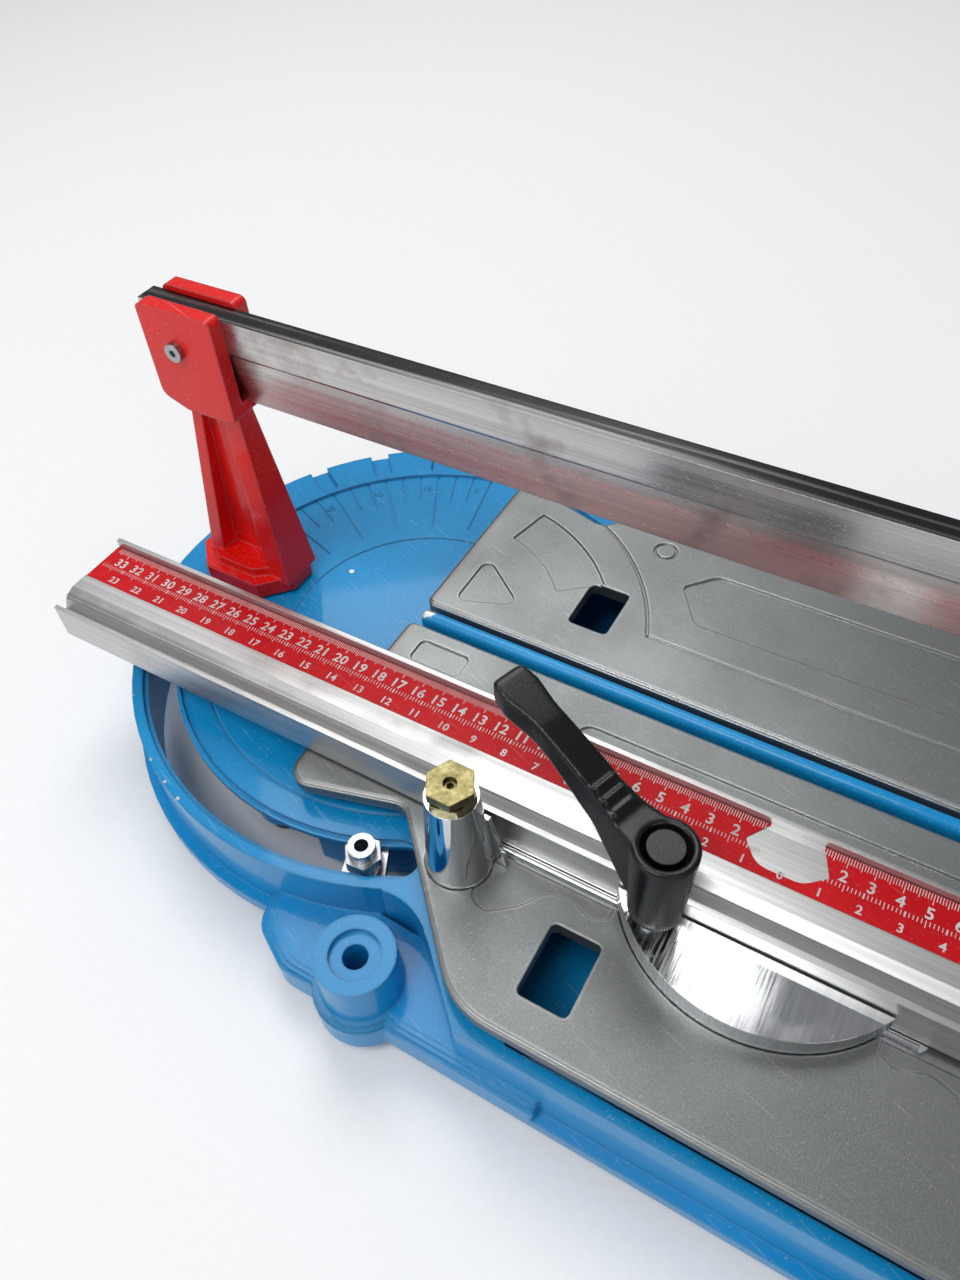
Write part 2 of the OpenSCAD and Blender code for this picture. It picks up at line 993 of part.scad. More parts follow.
module fence_bar() {
    front = rule_z1 - 0.5;
    color([0.74, 0.74, 0.73]) {
        translate([rule_zero_x - rule_half_l, 0, 0]) {
            rotate([90, 0, 90]) {
                linear_extrude(height = 2 * rule_half_l) {
                    polygon([[rule_y0, rule_z0], [rule_y0, front], [rule_y0 + 1.8, front],
                        [rule_y0 + 4.2, front - 5.5], [rule_y0 + 5.2, front - 5.5],
                        [rule_y0 + 7.2, front - 1.2],
                        [rule_y0 + 8.2, front + 0.2], [rule_y0 + 13, front + 2],
                        [strip_y0 - 0.3, front + 2], [strip_y0 - 0.3, front + 1],
                        [strip_y1 + 0.3, front + 1], [strip_y1 + 0.3, front + 5.5], [rule_y1, front + 5.5],
                        [rule_y1, rule_z0], [channel_y1, rule_z0], [channel_y1, rule_z0 + channel_h],
                        [channel_y0, rule_z0 + channel_h], [channel_y0, rule_z0]]);
                }
            }
        }
    }
}

module scale_strip() {
    color([0.78, 0.03, 0.05]) {
        difference() {
            translate([rule_zero_x - rule_half_l, strip_y0, rule_z1 + 0.5]) {
                cube([2 * rule_half_l, strip_y1 - strip_y0, strip_t]);
            }
            translate([rule_zero_x, 0, rule_z1]) {
                linear_extrude(height = 5) {
                    polygon(rounded([[-8, strip_y1 + 2], [-16, strip_y0 + 12.5], [-9, strip_y0 + 3.5],
                        [8, strip_y0 + 3.5], [16, strip_y0 + 10.5], [10, strip_y1 + 2]], [1, 2, 9, 9, 2, 1]));
                }
            }
        }
    }
}

// ---------- clamping lever ----------

// outline of the lever arm from the side, u along the arm
module arm_side2d() {
    polygon(rounded([[-4, 10], [8, 12], [28, 29], [50, 43], [76, 50], [80, 54], [78, 61], [54, 56], [33, 49],
        [16, hub_h], [-4, hub_h]], [1, 8, 20, 20, 3, 3, 3, 20, 14, 4, 1], 6));
}

// outline of the lever arm from above
module arm_top2d() {
    polygon(rounded([[-4, -9.4], [10, -8.6], [26, -6.2], [58, -6], [70, -8], [80, -6.5],
        [80, 6.5], [70, 8], [58, 6], [26, 6.2], [10, 8.6], [-4, 9.4]],
        [1, 8, 14, 14, 7, 5.5, 5.5, 7, 14, 14, 8, 1], 6));
}

// foot of the hub with fine vertical teeth
module serrated_ring(r, h) {
    difference() {
        cylinder(r = r, h = h, $fn = 72);
        for (i = [0:35]) {
            rotate([0, 0, 10 * i]) {
                translate([r - 0.5, -0.4, -cut]) {
                    cube([2, 0.8, h - 0.6]);
                }
            }
        }
    }
}

module clamp_lever() {
    color([0.06, 0.06, 0.06]) {
        translate([lever_x, lever_y, lever_z]) {
            difference() {
                union() {
                    serrated_ring(9.9, 3.8);
                    translate([0, 0, 3.4]) {
                        cylinder(r1 = 10.3, r2 = 11.7, h = hub_h - 3.4, $fn = 72);
                    }
                    rotate([0, 0, lever_a]) {
                        // three grip ribs across the arm
                        for (x = [19, 23.5, 28]) {
                            translate([x, 0, hub_h + 0.42 * (x - 15)]) {
                                rod_y(1, 10.5);
                            }
                        }
                        intersection() {
                            rotate([90, 0, 0]) {
                                translate([0, 0, -12]) {
                                    linear_extrude(height = 24) {
                                        arm_side2d();
                                    }
                                }
                            }
                            linear_extrude(height = 90) {
                                arm_top2d();
                            }
                        }
                    }
                }
                translate([0, 0, -cut]) {
                    cylinder(r = stud_r + fit, h = 30 + cut, $fn = 48);
                }
                translate([0, 0, hub_h - 14]) {
                    cylinder(r = 6.5 + fit, h = 40, $fn = 48);
                }
                translate([0, 0, hub_h - 3]) {
                    cylinder(r = 8.4, h = 40, $fn = 48);
                }
            }
        }
    }
}

module lever_stud() {
    color([0.60, 0.60, 0.60]) {
        translate([lever_x, lever_y, table_z - 1]) {
            cylinder(r = stud_r, h = lever_z + 26 - table_z, $fn = 48);
        }
        // collar between the half-disc and the foot of the lever
        translate([lever_x, lever_y, carrier_z + half_disc_h + gap]) {
            cylinder(r = 5.2, h = lever_z - carrier_z - half_disc_h - gap, $fn = 48);
        }
    }
}

module lever_button() {
    color([0.05, 0.05, 0.05]) {
        translate([lever_x, lever_y, lever_z + hub_h - 10]) {
            cylinder(r = 6.5, h = 9.4, $fn = 48);
        }
    }
}

// ---------- collar nut in the arc slot ----------

module slot_nut() {
    color([0.70, 0.72, 0.74]) {
        rotate([0, 0, nut_a]) {
            translate([slot_r, 0, deck_z - 2.4 + fit]) {
                difference() {
                    union() {
                        rotate([0, 0, 15]) {
                            hex(hex_af, 6);
                        }
                        cylinder(r = 5.8, h = 11.5, $fn = 48);
                    }
                    translate([0, 0, -cut]) {
                        cylinder(r = 2.9, h = 20, $fn = 36);
                    }
                }
            }
        }
    }
}

module slot_slider() {
    color([0.50, 0.50, 0.50]) {
        difference() {
            union() {
                translate([0, 0, deck_z - deck_t - 5 - fit]) {
                    linear_extrude(height = 5) {
                        sector2d(slot_r - slot_w / 2 - 3, hollow_r - gap, nut_a - 4, nut_a + 4);
                    }
                }
                rotate([0, 0, nut_a]) {
                    translate([slot_r, 0, deck_z - deck_t - 5]) {
                        cylinder(r = slot_w / 2 - 2 * fit, h = deck_t + 5 - 2.4, $fn = 48);
                    }
                }
            }
            rotate([0, 0, nut_a]) {
                translate([slot_r, 0, 0]) {
                    cylinder(r = 2.9, h = deck_z, $fn = 36);
                }
            }
        }
    }
}

// ---------- carriage ----------

// places its children at the four roller axles, seen from the side
module axle_spots() {
    for (d = [-axle_dx, axle_dx]) {
        for (z = [low_axle_z, top_axle_z]) {
            translate([car_x + d, 0, z]) {
                children();
            }
        }
    }
}

module carriage_body() {
    top = top_axle_z + roller_r + 3;
    color([0.30, 0.31, 0.33]) {
        difference() {
            rotate([90, 0, 0]) {
                translate([0, 0, -cheek_y1]) {
                    linear_extrude(height = 2 * cheek_y1) {
                        polygon(rounded([[car_x - car_half, low_axle_z - 8],
                            [car_x + car_half, low_axle_z - 8], [car_x + car_half, top + 5],
                            [car_x - car_half, top + 5]], [9, 9, 12, 12]));
                    }
                }
            }
            translate([car_x - carriage_l, -cheek_y0, 0]) {
                cube([2 * carriage_l, 2 * cheek_y0, top]);
            }
            axle_spots() {
                rod_y(axle_r + fit, 60);
            }
            for (s = [-1, 1]) {
                translate([car_x, s * cheek_y1, car_z]) {
                    rod_y(4 + fit, 4 * cheek_t);
                }
            }
            // lightening windows in the cheeks
            for (d = [-1, 1]) {
                translate([car_x + d * 25 - 7, -40, car_z - 9]) {
                    cube([14, 80, 16]);
                }
            }
        }
    }
}

module glide_pads() {
    color([0.90, 0.89, 0.84]) {
        for (s = [-1, 1]) {
            for (d = [-1, 1]) {
                translate([car_x + d * (car_half - 11) - 8, s > 0 ? rail_w / 2 + 0.1 : -cheek_y0,
                    rail_z1 - 13]) {
                    cube([16, cheek_y0 - rail_w / 2 - 0.1, 11]);
                }
            }
        }
    }
}

module roller_axles() {
    color([0.62, 0.62, 0.62]) {
        axle_spots() {
            rod_y(axle_r, 2 * cheek_y1);
        }
    }
}

// one grooved ball-bearing roller on its axle
module roller(dx, z) {
    translate([car_x + dx, 0, z]) {
        difference() {
            rod_y(roller_r, 2 * cheek_y0 - 0.8);
            rod_y(axle_r + fit, 40);
            for (s = [-1, 1]) {
                translate([0, s * (cheek_y0 - 0.4), 0]) {
                    difference() {
                        rod_y(roller_r - 1.6, 1);
                        rod_y(axle_r + 1.6, 2);
                    }
                }
            }
        }
    }
}

module top_front_roller() {
    color([0.70, 0.70, 0.72]) {
        roller(-axle_dx, top_axle_z);
    }
}

module top_rear_roller() {
    color([0.70, 0.70, 0.72]) {
        roller(axle_dx, top_axle_z);
    }
}

module low_front_roller() {
    color([0.70, 0.70, 0.72]) {
        roller(-axle_dx, low_axle_z);
    }
}

module low_rear_roller() {
    color([0.70, 0.70, 0.72]) {
        roller(axle_dx, low_axle_z);
    }
}

module pivot_screws() {
    color([0.55, 0.55, 0.56]) {
        for (s = [-1, 1]) {
            translate([car_x, s * (cheek_y0 + 0.2 + (cheek_t - 0.2) / 2), car_z]) {
                rod_y(4, cheek_t - 0.2);
            }
            translate([car_x, s * (cheek_y1 + (gap + yoke_t + gap) / 2), car_z]) {
                rod_y(6, gap + yoke_t + gap);
            }
            difference() {
                translate([car_x, s * (yoke_y1 + gap + 2), car_z]) {
                    rod_y(9, 4);
                }
                translate([car_x, s * (yoke_y1 + gap + 3), car_z]) {
                    rotate([90, 0, 0]) {
                        translate([0, 0, -2]) {
                            hex(5, 4);
                        }
                    }
                }
            }
        }
    }
}

// ---------- handle ----------

// side outline of the yoke plates, centred on the pivot
module yoke_side2d() {
    circle(r = 13, $fn = 72);
    polygon(rounded([[-9, 2], [-15, -nose_top - 2], [-15, -nose_bot], [46, -nose_bot], [46, -nose_top],
        [22, -42], [11, 2]], [2, 6, 4, 4, 6, 10, 2]));
    rotate([0, 0, arm_a]) {
        translate([0, -9]) {
            square([96, 18]);
        }
    }
}

module handle_yoke() {
    color([0.80, 0.10, 0.09]) {
        difference() {
            union() {
                for (s = [-1, 1]) {
                    translate([car_x, s * (yoke_y0 + yoke_t / 2), car_z]) {
                        rotate([90, 0, 0]) {
                            translate([0, 0, -yoke_t / 2]) {
                                linear_extrude(height = yoke_t) {
                                    yoke_side2d();
                                }
                            }
                        }
                    }
                }
                // nose block under the rail
                translate([car_x - 15, -yoke_y0 - 1, car_z - nose_bot]) {
                    cube([61, 2 * yoke_y0 + 2, nose_bot - nose_top - 4]);
                }
                // socket block above the carriage
                translate([car_x, 0, car_z]) {
                    rotate([0, -arm_a, 0]) {
                        translate([76, -yoke_y0 - 1, -9]) {
                            cube([20, 2 * yoke_y0 + 2, 18]);
                        }
                    }
                }
                translate([car_x, 0, car_z]) {
                    rotate([0, 90 - arm_a, 0]) {
                        translate([0, 0, 76]) {
                            cylinder(r = tube_r + 4, h = 44, $fn = 60);
                        }
                    }
                }
                // lugs of the breaker foot
                for (s = [-1, 1]) {
                    translate([car_x + foot_pin_dx, s * 9.5, foot_pin_z]) {
                        rod_y(6, 5);
                    }
                    translate([car_x + foot_pin_dx - 6, s * 9.5 - 2.5, foot_pin_z]) {
                        cube([12, 5, car_z - nose_bot - foot_pin_z + 1]);
                    }
                }
            }
            for (s = [-1, 1]) {
                translate([car_x, s * (yoke_y0 + yoke_t / 2), car_z]) {
                    rod_y(6 + fit, 2 * yoke_t);
                }
            }
            translate([car_x, 0, car_z]) {
                rotate([0, 90 - arm_a, 0]) {
                    translate([0, 0, 88]) {
                        cylinder(r = tube_r + fit, h = 60, $fn = 60);
                    }
                }
            }
            translate([car_x + foot_pin_dx, 0, foot_pin_z]) {
                rod_y(3 + fit, 60);
            }
            translate([car_x, 0, car_z - nose_bot - cut]) {
                cylinder(r = 3 + fit, h = 30, $fn = 36);
            }
        }
    }
}

// places its children along the handle axis, from the pivot outwards
module along_handle() {
    translate([car_x, 0, car_z]) {
        rotate([0, 90 - arm_a, 0]) {
            children();
        }
    }
}

module handle_tube() {
    color([0.78, 0.78, 0.80]) {
        along_handle() {
            translate([0, 0, 88]) {
                cylinder(r = tube_r, h = handle_l - 96, $fn = 60);
            }
        }
    }
}

module handle_grip() {
    color([0.06, 0.06, 0.06]) {
        along_handle() {
            difference() {
                union() {
                    translate([0, 0, handle_l - 120]) {
                        cylinder(r = tube_r + 5, h = 108, $fn = 60);
                    }
                    for (z = [handle_l - 120, handle_l - 12]) {
                        translate([0, 0, z]) {
                            cylinder(r = tube_r + 8, h = 6, $fn = 60);
                        }
                    }
                }
                translate([0, 0, handle_l - 130]) {
                    cylinder(r = tube_r + fit, h = 122, $fn = 60);
                }
            }
        }
    }
}

module wheel_holder() {
    color([0.55, 0.56, 0.58]) {
        difference() {
            translate([car_x - 10, -7, wheel_z - 6]) {
                cube([20, 14, car_z - nose_bot - wheel_z + 6 - fit]);
            }
            translate([car_x - 15, -wheel_t / 2 - gap, wheel_z - 10]) {
                cube([30, wheel_t + 2 * gap, wheel_r + 10.6]);
            }
            translate([car_x, 0, wheel_z]) {
                rod_y(wheel_axle_r + fit, 40);
            }
            translate([car_x, 0, wheel_z + wheel_r + 0.4]) {
                cylinder(r = 3 + fit, h = 30, $fn = 36);
            }
        }
    }
}

module holder_screw() {
    color([0.60, 0.60, 0.58]) {
        translate([car_x, 0, wheel_z + wheel_r + 0.7]) {
            cylinder(r = 3, h = nose_bot - nose_top - 4, $fn = 36);
        }
    }
}

module scoring_wheel() {
    color([0.62, 0.62, 0.64]) {
        translate([car_x, 0, wheel_z]) {
            difference() {
                rotate([90, 0, 0]) {
                    rotate_extrude($fn = 96) {
                        polygon([[0, -wheel_t / 2], [wheel_r - 1.6, -wheel_t / 2], [wheel_r, 0],
                            [wheel_r - 1.6, wheel_t / 2], [0, wheel_t / 2]]);
                    }
                }
                rod_y(wheel_axle_r + 2 * fit, 20);
            }
        }
    }
}

module wheel_axle() {
    color([0.66, 0.66, 0.66]) {
        translate([car_x, 0, wheel_z]) {
            rod_y(wheel_axle_r, 14);
        }
    }
}

module breaker_foot() {
    color([0.20, 0.20, 0.21]) {
        difference() {
            union() {
                translate([car_x + foot_pin_dx, 0, foot_pin_z]) {
                    rod_y(6, 13.4);
                }
                translate([car_x + foot_pin_dx - 5, -6, table_z + 6]) {
                    cube([10, 12, foot_pin_z - table_z - 6]);
                }
                translate([car_x + foot_pin_dx - 12, -34, table_z + 4]) {
                    cube([24, 68, 4.5]);
                }
                for (s = [-1, 1]) {
                    translate([car_x + foot_pin_dx - 12, s * 26 - 8, table_z + 1.5]) {
                        cube([24, 16, 4]);
                    }
                }
            }
            translate([car_x + foot_pin_dx, 0, foot_pin_z]) {
                rod_y(3 + 2 * fit, 60);
            }
        }
    }
}

module foot_pin() {
    color([0.66, 0.66, 0.66]) {
        translate([car_x + foot_pin_dx, 0, foot_pin_z]) {
            rod_y(3, 24);
        }
    }
}

translate([-centre_x, 0, 0]) base_casting();
translate([-centre_x, 0, 0]) front_rail_support();
translate([-centre_x, 0, 0]) rear_rail_support();
translate([-centre_x, 0, 0]) rail();
translate([-centre_x, 0, 0]) rail_screws();
translate([-centre_x, 0, 0]) rail_nuts();
translate([-centre_x, 0, 0]) support_bolts();
translate([-centre_x, 0, 0]) rubber_feet();
translate([-centre_x, 0, 0]) near_table();
translate([-centre_x, 0, 0]) near_stop_screws();
translate([-centre_x, 0, 0]) near_springs();
translate([-centre_x, 0, 0]) far_table();
translate([-centre_x, 0, 0]) far_stop_screws();
translate([-centre_x, 0, 0]) far_springs();
translate([-centre_x, 0, 0]) fence_carrier();
translate([-centre_x, 0, 0]) carrier_screws();
translate([-centre_x, 0, 0]) post_nut();
translate([-centre_x, 0, 0]) grub_screw();
translate([-centre_x, 0, 0]) fence_bar();
translate([-centre_x, 0, 0]) scale_strip();
translate([-centre_x, 0, 0]) clamp_lever();
translate([-centre_x, 0, 0]) lever_stud();
translate([-centre_x, 0, 0]) lever_button();
translate([-centre_x, 0, 0]) slot_nut();
translate([-centre_x, 0, 0]) slot_slider();
translate([-centre_x, 0, 0]) carriage_body();
translate([-centre_x, 0, 0]) glide_pads();
translate([-centre_x, 0, 0]) roller_axles();
translate([-centre_x, 0, 0]) top_front_roller();
translate([-centre_x, 0, 0]) top_rear_roller();
translate([-centre_x, 0, 0]) low_front_roller();
translate([-centre_x, 0, 0]) low_rear_roller();
translate([-centre_x, 0, 0]) pivot_screws();
translate([-centre_x, 0, 0]) handle_yoke();
translate([-centre_x, 0, 0]) handle_tube();
translate([-centre_x, 0, 0]) handle_grip();
translate([-centre_x, 0, 0]) wheel_holder();
translate([-centre_x, 0, 0]) holder_screw();
translate([-centre_x, 0, 0]) scoring_wheel();
translate([-centre_x, 0, 0]) wheel_axle();
translate([-centre_x, 0, 0]) breaker_foot();
translate([-centre_x, 0, 0]) foot_pin();
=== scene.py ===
# %% [markdown]
# # A manual tile cutter
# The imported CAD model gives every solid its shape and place. This script adds what a CAD
# model lacks: finishes, soft edges, the printed scale, light, a floor and a camera.

# %% Load the frame and keep its box
import math
import bpy
import bmesh
from mathutils import Matrix, Vector


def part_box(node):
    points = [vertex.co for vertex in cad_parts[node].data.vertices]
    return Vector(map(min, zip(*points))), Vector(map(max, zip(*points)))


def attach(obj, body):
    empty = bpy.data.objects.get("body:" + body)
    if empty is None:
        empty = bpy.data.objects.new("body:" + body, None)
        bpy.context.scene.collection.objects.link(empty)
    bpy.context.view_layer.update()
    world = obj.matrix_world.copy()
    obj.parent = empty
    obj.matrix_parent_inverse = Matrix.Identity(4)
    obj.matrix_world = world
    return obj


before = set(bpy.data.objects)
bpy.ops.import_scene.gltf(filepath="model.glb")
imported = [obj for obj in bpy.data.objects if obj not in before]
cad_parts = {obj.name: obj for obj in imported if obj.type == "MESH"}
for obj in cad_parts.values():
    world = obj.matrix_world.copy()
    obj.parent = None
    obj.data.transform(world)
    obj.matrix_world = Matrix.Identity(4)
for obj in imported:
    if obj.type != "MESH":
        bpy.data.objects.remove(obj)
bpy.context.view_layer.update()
MM = 0.001
ROUND_END_R = 146 * MM
DIAL_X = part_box("base_casting")[0].x + ROUND_END_R
print("dial centre at x = %.4f" % DIAL_X)

# %% [markdown]
# ## The camera
# The camera stands close above the round end and looks steeply down along the tables. It is
# placed by three directions: what is right, what is down and what is ahead of it. Writing
# them out is exact, where turning the camera by eye is not.

# %% Camera
RIGHT = Vector((0.86697, 0.49629, -0.04527))
DOWN = Vector((0.34658, -0.66572, -0.66083))
AHEAD = Vector((-0.3581, 0.55724, -0.74917))
EYE = Vector((202.14, -261.25, 407.97)) * MM + Vector((DIAL_X, 0, 0))
SENSOR = 36.0
FOCAL = 0.76975 * SENSOR

eye_data = bpy.data.cameras.new("eye")
eye_data.sensor_width = SENSOR
eye_data.lens = FOCAL
eye_data.clip_start = 0.01
eye = bpy.data.objects.new("eye", eye_data)
bpy.context.scene.collection.objects.link(eye)
turn = Matrix((RIGHT, -DOWN, -AHEAD)).transposed()
eye.matrix_world = Matrix.Translation(EYE) @ turn.to_4x4()
bpy.context.scene.camera = eye
print("lens: %.2f mm, eye height: %.3f m" % (FOCAL, EYE.z))

# %% [markdown]
# ## Floor and light
# The floor is plain and pale, so nothing competes with the cutter. Polished metal only looks
# like metal when it has something to mirror, so the light is four soft panels of different
# strength in a dim grey room, instead of an even white dome.

# %% Floor, room and lamps
def stage_floor(size):
    mesh = bpy.data.meshes.new("floor")
    corners = [(-size, -size, 0), (size, -size, 0), (size, size, 0), (-size, size, 0)]
    mesh.from_pydata(corners, [], [(0, 1, 2, 3)])
    floor = bpy.data.objects.new("floor", mesh)
    bpy.context.scene.collection.objects.link(floor)
    return floor


def lamp(name, place, aim, size, power):
    data = bpy.data.lights.new(name, "AREA")
    data.shape = "RECTANGLE"
    data.size, data.size_y = size
    data.energy = power
    obj = bpy.data.objects.new(name, data)
    bpy.context.scene.collection.objects.link(obj)
    obj.location = place
    obj.rotation_euler = (Vector(aim) - Vector(place)).to_track_quat("-Z", "Y").to_euler()
    return obj


FLOOR_HALF = 8.0
# name, place and aim in metres, panel size in metres, power in watts
LAMPS = [
    ("ceiling", (-0.95, 0.95, 2.0), (-0.2, 0, 0), (1.2, 1.3), 22),
    ("above", (-0.5, -0.9, 2.1), (-0.2, 0, 0), (1.0, 1.0), 20),
    ("window", (-1.1, -1.2, 1.1), (-0.2, 0, 0), (0.9, 0.7), 4),
    ("fill", (1.5, -1.2, 1.4), (-0.1, 0, 0), (1.0, 0.8), 6),
]

floor = stage_floor(FLOOR_HALF)
for settings in LAMPS:
    lamp(*settings)

room = bpy.data.worlds.new("room")
room.use_nodes = True
room.node_tree.nodes["Background"].inputs["Color"].default_value = (0.93, 0.96, 1.0, 1)
room.node_tree.nodes["Background"].inputs["Strength"].default_value = 0.26
bpy.context.scene.world = room
bpy.context.scene.view_settings.view_transform = "Standard"

# %% [markdown]
# ## Building blocks for finishes
# A finish is a small network of nodes. Three short helpers keep the networks readable: one
# places a node, one does arithmetic and one mixes two colours.

# %% Node helpers
def put(tree, kind, inputs=None, **settings):
    made = tree.nodes.new("ShaderNode" + kind)
    for key, value in settings.items():
        setattr(made, key, value)
    for key, value in (inputs or {}).items():
        if isinstance(value, bpy.types.NodeSocket):
            tree.links.new(value, made.inputs[key])
        else:
            made.inputs[key].default_value = value
    return made


def calc(tree, how, first, second=0.0):
    return put(tree, "Math", {0: first, 1: second}, operation=how).outputs[0]


def mixed(tree, share, first, second):
    return put(tree, "Mix", {0: share, 6: first, 7: second}, data_type="RGBA").outputs[2]


def between(tree, value, low, high, to_low=0.0, to_high=1.0):
    return put(tree, "MapRange", {0: value, 1: low, 2: high, 3: to_low, 4: to_high},
               clamp=True).outputs[0]


def group(name, inputs, outputs):
    tree = bpy.data.node_groups.new(name, "ShaderNodeTree")
    for label, kind, value in inputs:
        socket = tree.interface.new_socket(label, in_out="INPUT", socket_type="NodeSocket" + kind)
        socket.default_value = value
    for label, kind in outputs:
        tree.interface.new_socket(label, in_out="OUTPUT", socket_type="NodeSocket" + kind)
    return tree, tree.nodes.new("NodeGroupInput").outputs, tree.nodes.new("NodeGroupOutput").inputs


def use(tree, effect, **inputs):
    made = tree.nodes.new("ShaderNodeGroup")
    made.node_tree = effect
    for key, value in inputs.items():
        socket = made.inputs[key.replace("_", " ")]
        if isinstance(value, bpy.types.NodeSocket):
            tree.links.new(value, socket)
        else:
            socket.default_value = value
    return made.outputs


def here(tree):
    return put(tree, "TexCoord").outputs["Object"]


print("node helpers ready")

# %% [markdown]
# ## Shared effects
# Wear shows first on edges. Comparing the true normal with one that is smoothed over a small
# radius finds every edge, and noise breaks the line up, as real rubbing does. The plain edge mask also
# carries the painted edge highlight of the enamel.

# %% Edges and wear
edges_and_wear, given, made = group("edges and wear", [
    ("Width", "Float", 0.001), ("Amount", "Float", 1.0), ("Grain", "Float", 300.0)],
    [("Mask", "Float"), ("Edge", "Float")])
t = edges_and_wear
soft = put(t, "Bevel", {"Radius": given["Width"]}, samples=4).outputs["Normal"]
true = put(t, "NewGeometry").outputs["Normal"]
agree = put(t, "VectorMath", {0: soft, 1: true}, operation="DOT_PRODUCT").outputs["Value"]
edge = between(t, calc(t, "SUBTRACT", 1.0, agree), 0.004, 0.12)
crumbs = put(t, "TexNoise", {"Vector": here(t), "Scale": given["Grain"],
                             "Detail": 4.0}).outputs["Fac"]
patch = put(t, "TexNoise", {"Vector": here(t), "Scale": 38.0, "Detail": 2.0}).outputs["Fac"]
rub = calc(t, "ADD", calc(t, "MULTIPLY", edge, given["Amount"]),
           calc(t, "ADD", calc(t, "MULTIPLY", crumbs, 0.7), calc(t, "MULTIPLY", patch, 0.7)))
t.links.new(between(t, rub, 1.28, 1.44), made["Mask"])
t.links.new(edge, made["Edge"])
print("effect:", t.name)

# %% [markdown]
# Metal that was ground, brushed or drawn shows fine lines along one direction. Noise that is
# stretched along that direction gives them, and two layers keep it from looking combed.

# %% Drawn lines
drawn_lines, given, made = group("drawn lines", [
    ("Stretch", "Vector", (4.0, 900.0, 900.0)), ("Coarse", "Vector", (1.0, 160.0, 160.0))],
    [("Fine", "Float"), ("Broad", "Float")])
t = drawn_lines
for label, key in (("Fine", "Stretch"), ("Broad", "Coarse")):
    place = put(t, "VectorMath", {0: here(t), 1: given[key]}, operation="MULTIPLY").outputs[0]
    value = put(t, "TexNoise", {"Vector": place, "Scale": 1.0, "Detail": 3.0}).outputs["Fac"]
    t.links.new(value, made[label])
print("effect:", t.name)

# %% [markdown]
# Use leaves scratches. Each layer is noise stretched along its own direction and cut to the
# few highest crests, so that it leaves short thin strokes.

# %% Scratches
scratches, given, made = group("scratches", [
    ("Length", "Float", 14.0), ("Fineness", "Float", 900.0), ("Amount", "Float", 0.5)],
    [("Mask", "Float")])
t = scratches
layers = []
for angle, lean in ((0.35, 0.2), (1.9, 0.5), (2.75, 0.9)):
    spun = put(t, "VectorRotate", {"Vector": here(t), "Axis": (0.15, lean * 0.3, 1.0), "Angle": angle})
    scale = put(t, "CombineXYZ", {0: given["Length"], 1: given["Fineness"], 2: given["Fineness"]})
    place = put(t, "VectorMath", {0: spun.outputs[0], 1: scale.outputs[0]}, operation="MULTIPLY")
    value = put(t, "TexNoise", {"Vector": place.outputs[0], "Scale": 1.0, "Detail": 1.0}).outputs["Fac"]
    layers.append(between(t, value, 0.70, 0.76))
both = calc(t, "MAXIMUM", calc(t, "MAXIMUM", layers[0], layers[1]), layers[2])
t.links.new(calc(t, "MULTIPLY", both, given["Amount"]), made["Mask"])
print("effect:", t.name)

# %% [markdown]
# Handling leaves soft blotches of grease and dust, which change the gloss more than the
# colour. One group gives them at any size.

# %% Blotches
blotches, given, made = group("blotches", [
    ("Size", "Float", 20.0), ("Low", "Float", 0.4), ("High", "Float", 0.65)], [("Mask", "Float")])
t = blotches
value = put(t, "TexNoise", {"Vector": here(t), "Scale": given["Size"], "Detail": 5.0,
                            "Roughness": 0.6}).outputs["Fac"]
t.links.new(put(t, "MapRange", {0: value, 1: given["Low"], 2: given["High"]}).outputs[0], made["Mask"])
print("effect:", t.name)

# %% [markdown]
# A cast or painted skin isn't flat: it has a fine pebble and a slow wave under it.

# %% Cast skin
cast_skin, given, made = group("cast skin", [
    ("Pebble", "Float", 900.0), ("Wave", "Float", 40.0), ("Wave Share", "Float", 0.6)],
    [("Height", "Float"), ("Speck", "Float")])
t = cast_skin
pebble = put(t, "TexNoise", {"Vector": here(t), "Scale": given["Pebble"], "Detail": 2.0}).outputs["Fac"]
wave = put(t, "TexNoise", {"Vector": here(t), "Scale": given["Wave"], "Detail": 2.0}).outputs["Fac"]
t.links.new(calc(t, "ADD", pebble, calc(t, "MULTIPLY", wave, given["Wave Share"])), made["Height"])
t.links.new(pebble, made["Speck"])
print("effect:", t.name)

# %% [markdown]
# ## Finishes
# Every finish starts from the same helper, which leaves one Principled shader to fill in.

# %% Finish helper
FINISHES = {}


def finish(name, bump=0.1, distance=0.0004):
    material = bpy.data.materials.new(name)
    material.use_nodes = True
    tree = material.node_tree
    shader = tree.nodes["Principled BSDF"]
    relief = put(tree, "Bump", {"Strength": bump, "Distance": distance})
    tree.links.new(relief.outputs[0], shader.inputs["Normal"])
    FINISHES[name] = material
    return tree, shader.inputs, relief.inputs


def feed(tree, value, socket):
    if isinstance(value, bpy.types.NodeSocket):
        tree.links.new(value, socket)
    else:
        socket.default_value = value


def rounded_normal(tree, relief, radius):
    tree.links.new(put(tree, "Bevel", {"Radius": radius}, samples=4).outputs[0], relief["Normal"])


print("finish helper ready")
